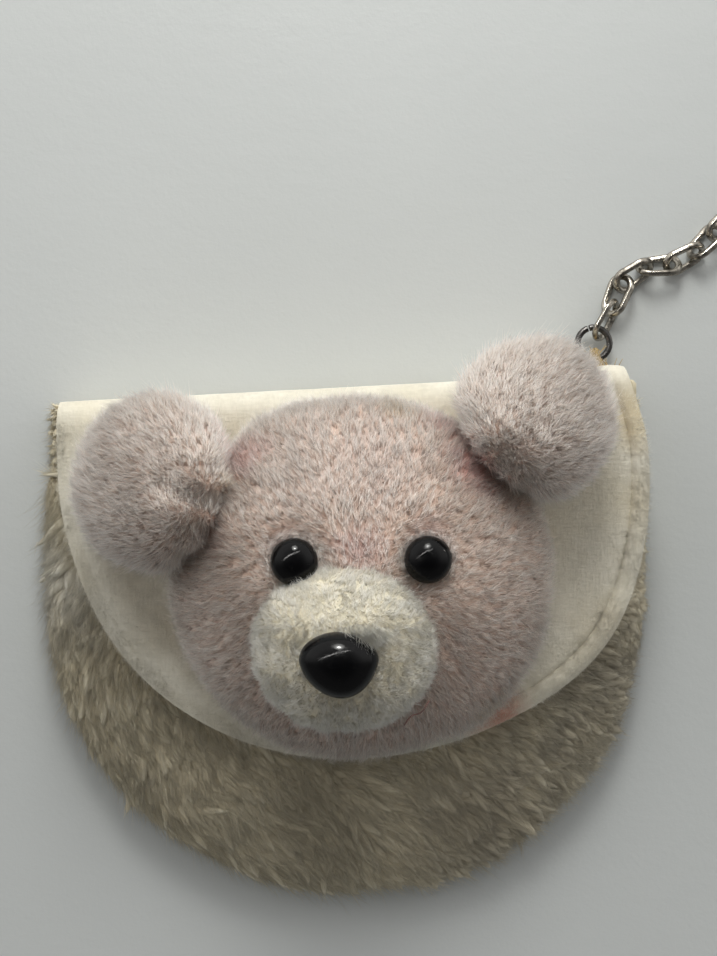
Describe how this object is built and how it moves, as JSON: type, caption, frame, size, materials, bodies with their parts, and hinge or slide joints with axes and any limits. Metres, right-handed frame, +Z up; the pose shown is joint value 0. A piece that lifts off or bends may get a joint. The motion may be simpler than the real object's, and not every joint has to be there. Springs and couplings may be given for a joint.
{
  "type": "plush coin purse keychain",
  "caption": "Round-bottomed plush coin purse with a bear-head flap over its pocket, hung on a short link chain with a split ring.",
  "frame": {"origin": "on the resting face of the pouch's back panel, at the middle of the pouch's width", "axes": "+Z up from the resting face towards the bear's face, +Y towards the fold where the flap hinges, +X towards the chain's side"},
  "size_m": [0.1403, 0.1269, 0.0395],
  "materials": {
    "sherpa_cream": "curly pile",
    "cotton_cream": "brushed cotton",
    "lining_cotton": "plain cotton",
    "thread": "sewing thread",
    "loop_yarn": "frayed yarn",
    "stuffing": "polyester fibre",
    "plush_mauve": "short plush",
    "plush_cream": "short plush",
    "black_plastic": "polished",
    "washer_plastic": "moulded",
    "snap_metal": "plated",
    "dark_metal": "gunmetal plate",
    "chain_nickel": "nickel plate, worn",
    "ring_steel": "nickel plate"
  },
  "bodies": {
    "pouch": {"back_panel": "sherpa_cream", "front_panel": "sherpa_cream", "back_lining": "lining_cotton", "front_lining": "lining_cotton", "mouth_binding": "cotton_cream", "pouch_seam_thread": "thread", "hinge_strip": "cotton_cream", "hang_loop": "loop_yarn", "snap_stud": "snap_metal"},
    "flap": {"snap_socket": "snap_metal", "flap_lining": "lining_cotton", "flap_cloth": "cotton_cream", "flap_topstitch": "thread", "head_plush": "plush_mauve", "head_stuffing": "stuffing", "head_base_cloth": "lining_cotton", "muzzle_plush": "plush_cream", "muzzle_stuffing": "stuffing", "nose": "black_plastic", "nose_washer": "washer_plastic", "left_eye": "black_plastic", "left_eye_washer": "washer_plastic", "right_eye": "black_plastic", "right_eye_washer": "washer_plastic", "left_ear_front": "plush_mauve", "left_ear_back": "plush_mauve", "left_ear_stuffing": "stuffing", "right_ear_front": "plush_mauve", "right_ear_back": "plush_mauve", "right_ear_stuffing": "stuffing"},
    "jump_ring": {"jump_ring": "dark_metal"},
    "chain_link_01": {"chain_link_01": "chain_nickel"},
    "chain_link_02": {"chain_link_02": "chain_nickel"},
    "chain_link_03": {"chain_link_03": "chain_nickel"},
    "chain_link_04": {"chain_link_04": "chain_nickel"},
    "chain_link_05": {"chain_link_05": "chain_nickel"},
    "chain_link_06": {"chain_link_06": "chain_nickel"},
    "chain_link_07": {"chain_link_07": "chain_nickel"},
    "chain_link_08": {"chain_link_08": "chain_nickel"},
    "chain_link_09": {"chain_link_09": "chain_nickel"},
    "chain_link_10": {"chain_link_10": "chain_nickel"},
    "end_ring": {"end_ring": "chain_nickel"},
    "split_ring": {"split_ring": "ring_steel"}
  },
  "joints": [
    {"name": "flap_fold", "type": "hinge", "parent": "pouch", "child": "flap", "pos_m": [0.002, 0.0383, 0.0124], "axis": [-1, 0, 0], "range_deg": [0, 110]},
    {"name": "jump_ring_tip", "type": "hinge", "parent": "pouch", "child": "jump_ring", "pos_m": [0.0381, 0.04365, 0.002], "axis": [1, 0, 0], "range_deg": [0, 45]},
    {"name": "chain_link_01_swing", "type": "hinge", "parent": "jump_ring", "child": "chain_link_01", "pos_m": [0.03904, 0.04787, 0.00202], "axis": [0, 0, 1], "range_deg": [-15, 15]},
    {"name": "chain_link_02_tip", "type": "hinge", "parent": "chain_link_01", "child": "chain_link_02", "pos_m": [0.04101, 0.05157, 0.00163], "axis": [0.9063, -0.4226, 0], "range_deg": [0, 15]},
    {"name": "chain_link_03_swing", "type": "hinge", "parent": "chain_link_02", "child": "chain_link_03", "pos_m": [0.04258, 0.05547, 0.00175], "axis": [0, 0, -1], "range_deg": [-20, 20]},
    {"name": "chain_link_04_tip", "type": "hinge", "parent": "chain_link_03", "child": "chain_link_04", "pos_m": [0.04607, 0.05782, 0.00175], "axis": [0.342, -0.9397, 0], "range_deg": [0, 20]},
    {"name": "chain_link_05_swing", "type": "hinge", "parent": "chain_link_04", "child": "chain_link_05", "pos_m": [0.05024, 0.05826, 0.00175], "axis": [0, 0, 1], "range_deg": [-20, 20]},
    {"name": "chain_link_06_tip", "type": "hinge", "parent": "chain_link_05", "child": "chain_link_06", "pos_m": [0.05395, 0.06023, 0.00175], "axis": [0.6018, -0.7986, 0], "range_deg": [0, 20]},
    {"name": "chain_link_07_swing", "type": "hinge", "parent": "chain_link_06", "child": "chain_link_07", "pos_m": [0.05687, 0.06325, 0.00175], "axis": [0, 0, -1], "range_deg": [-20, 20]},
    {"name": "chain_link_08_tip", "type": "hinge", "parent": "chain_link_07", "child": "chain_link_08", "pos_m": [0.05968, 0.06637, 0.00175], "axis": [0.6947, -0.7193, 0], "range_deg": [0, 20]},
    {"name": "chain_link_09_swing", "type": "hinge", "parent": "chain_link_08", "child": "chain_link_09", "pos_m": [0.0629, 0.06907, 0.00175], "axis": [0, 0, 1], "range_deg": [-20, 20]},
    {"name": "chain_link_10_tip", "type": "hinge", "parent": "chain_link_09", "child": "chain_link_10", "pos_m": [0.06653, 0.07117, 0.00215], "axis": [0.4384, -0.8988, 0], "range_deg": [0, 20]},
    {"name": "end_ring_swing", "type": "hinge", "parent": "chain_link_10", "child": "end_ring", "pos_m": [0.07043, 0.07274, 0.00215], "axis": [0, 0, -1], "range_deg": [-20, 20]},
    {"name": "split_ring_tip", "type": "hinge", "parent": "end_ring", "child": "split_ring", "pos_m": [0.07284, 0.07372, 0.00259], "axis": [0.3746, -0.9272, 0], "range_deg": [0, 30]}
  ]
}
